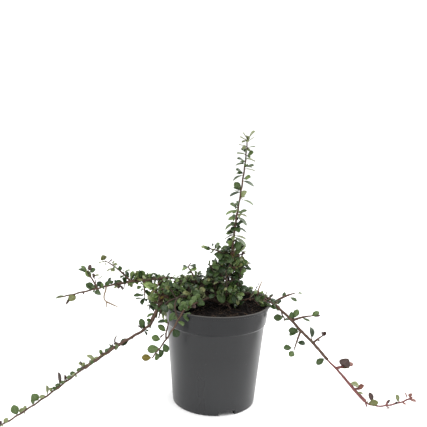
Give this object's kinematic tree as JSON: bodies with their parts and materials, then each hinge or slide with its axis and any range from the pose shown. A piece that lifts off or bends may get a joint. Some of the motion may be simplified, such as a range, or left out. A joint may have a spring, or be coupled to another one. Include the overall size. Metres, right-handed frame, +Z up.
{
  "type": "potted creeping cotoneaster",
  "caption": "Small-leaved creeping shrub with one upright shoot and long trailing shoots, rooted in a round tapered nursery pot filled with soil.",
  "frame": {"origin": "centre of the pot's underside, on the surface that it stands on", "axes": "+Z up along the pot's axis, +X to the right along the longest run of shoots, -Y to the front"},
  "size_m": [0.4904, 0.2388, 0.3287],
  "materials": {
    "pot": "satin dark grey moulded plastic",
    "potting_soil": "rough fibrous dark soil",
    "old_bark": "rough brown bark",
    "young_bark": "smooth reddish brown bark",
    "foliage": "small leathery leaves on thin twigs"
  },
  "bodies": {
    "root": {"pot": "pot", "potting_soil": "potting_soil", "crown_stem": "old_bark", "bough_upright": "young_bark", "bough_left": "young_bark", "bough_lower_left": "young_bark", "bough_front_left": "young_bark", "bough_right": "young_bark", "bough_back": "young_bark", "foliage_upright": "foliage", "foliage_foot_left": "foliage", "foliage_foot_right": "foliage", "foliage_crown_front": "foliage", "foliage_left_top": "foliage", "foliage_left_front": "foliage", "foliage_left_inner": "foliage", "foliage_left_outer": "foliage", "foliage_left_lobe": "foliage", "foliage_lower_left_inner": "foliage", "foliage_lower_left_outer": "foliage", "foliage_front_left": "foliage", "foliage_right_tuft": "foliage", "foliage_right_upper": "foliage", "foliage_right_middle": "foliage", "foliage_right_tip": "foliage", "foliage_back_left": "foliage", "foliage_back_right": "foliage", "foliage_back": "foliage"}
  },
  "joints": []
}
